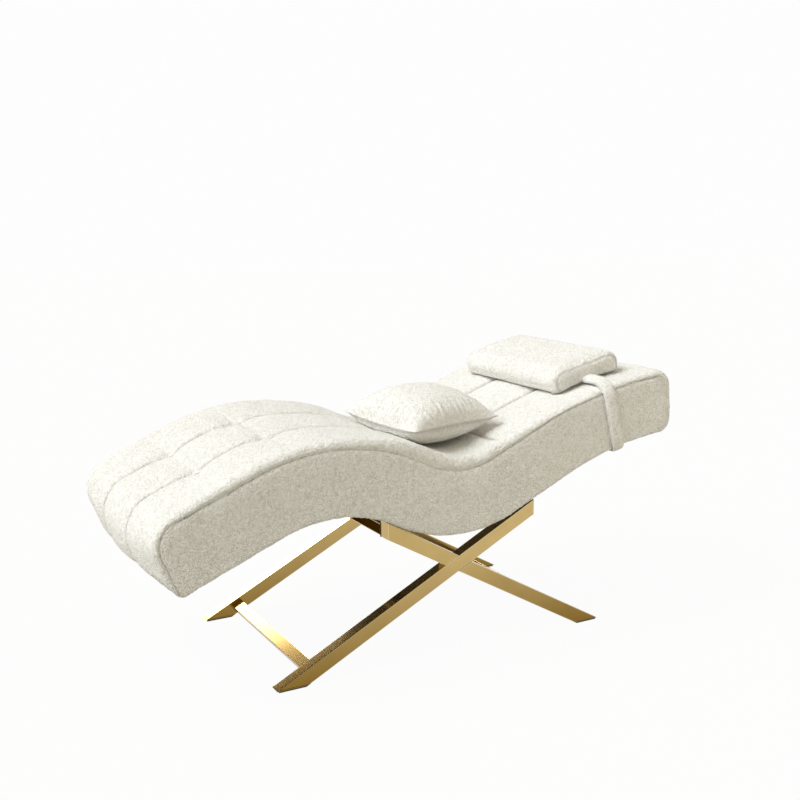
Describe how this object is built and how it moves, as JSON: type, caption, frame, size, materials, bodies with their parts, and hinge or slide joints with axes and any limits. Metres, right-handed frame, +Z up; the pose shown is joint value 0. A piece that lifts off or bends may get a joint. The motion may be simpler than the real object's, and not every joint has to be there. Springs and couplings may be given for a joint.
{
  "type": "treatment bed",
  "caption": "Curved lash bed with a wave-shaped, channel-sewn boucle pad on a crossed brushed gold tube base, with a strapped head pillow and a loose cushion",
  "frame": {"origin": "on the floor, below the middle of the bed's overall length and width", "axes": "+X from the foot end to the head end, +Y to the far side, +Z up"},
  "size_m": [1.8179, 0.7588, 0.9217],
  "materials": {
    "brushed_gold": "brushed",
    "zinc_steel": "zinc plated",
    "glide_rubber": "matte",
    "plywood": "raw birch plywood",
    "upholstery_foam": "foam and fibre",
    "underside_cloth": "woven",
    "cream_boucle": "curly boucle nap"
  },
  "bodies": {
    "bed": {"near_long_leg": "brushed_gold", "far_long_leg": "brushed_gold", "near_upper_cross_leg": "brushed_gold", "far_upper_cross_leg": "brushed_gold", "near_lower_cross_leg": "brushed_gold", "far_lower_cross_leg": "brushed_gold", "leg_end_caps": "brushed_gold", "foot_plates": "brushed_gold", "foot_stretcher": "brushed_gold", "head_stretcher": "brushed_gold", "foot_crossbar": "brushed_gold", "head_crossbar": "brushed_gold", "foot_brackets": "brushed_gold", "head_brackets": "brushed_gold", "mount_bolts": "zinc_steel", "mount_washers": "zinc_steel", "insert_nuts": "zinc_steel", "floor_glides": "glide_rubber", "near_side_board": "plywood", "far_side_board": "plywood", "bent_deck": "plywood", "foot_end_rail": "plywood", "foot_rib": "plywood", "crest_rib": "plywood", "dip_rib": "plywood", "head_rib": "plywood", "head_end_rail": "plywood", "foot_mount_rail": "plywood", "head_mount_rail": "plywood", "foam_pad": "upholstery_foam", "underside_cover": "underside_cloth", "near_side_cover": "cream_boucle", "far_side_cover": "cream_boucle", "quilted_top_cover": "cream_boucle"},
    "pillow": {"pillow_core": "upholstery_foam", "pillow_top_cover": "cream_boucle", "pillow_base_cover": "cream_boucle", "pillow_strap": "cream_boucle"},
    "cushion": {"cushion_filling": "upholstery_foam", "cushion_top_panel": "cream_boucle", "cushion_bottom_panel": "cream_boucle"}
  },
  "joints": [
    {"name": "pillow_slide", "type": "hinge", "parent": "bed", "child": "pillow", "pos_m": [0.94076, 0, -0.51652], "axis": [0, 1, 0], "range_deg": [-4.1, 1.8]},
    {"name": "cushion_lift", "type": "slide", "parent": "bed", "child": "cushion", "axis": [0, 0, 1], "range_m": [0, 0.25]}
  ]
}
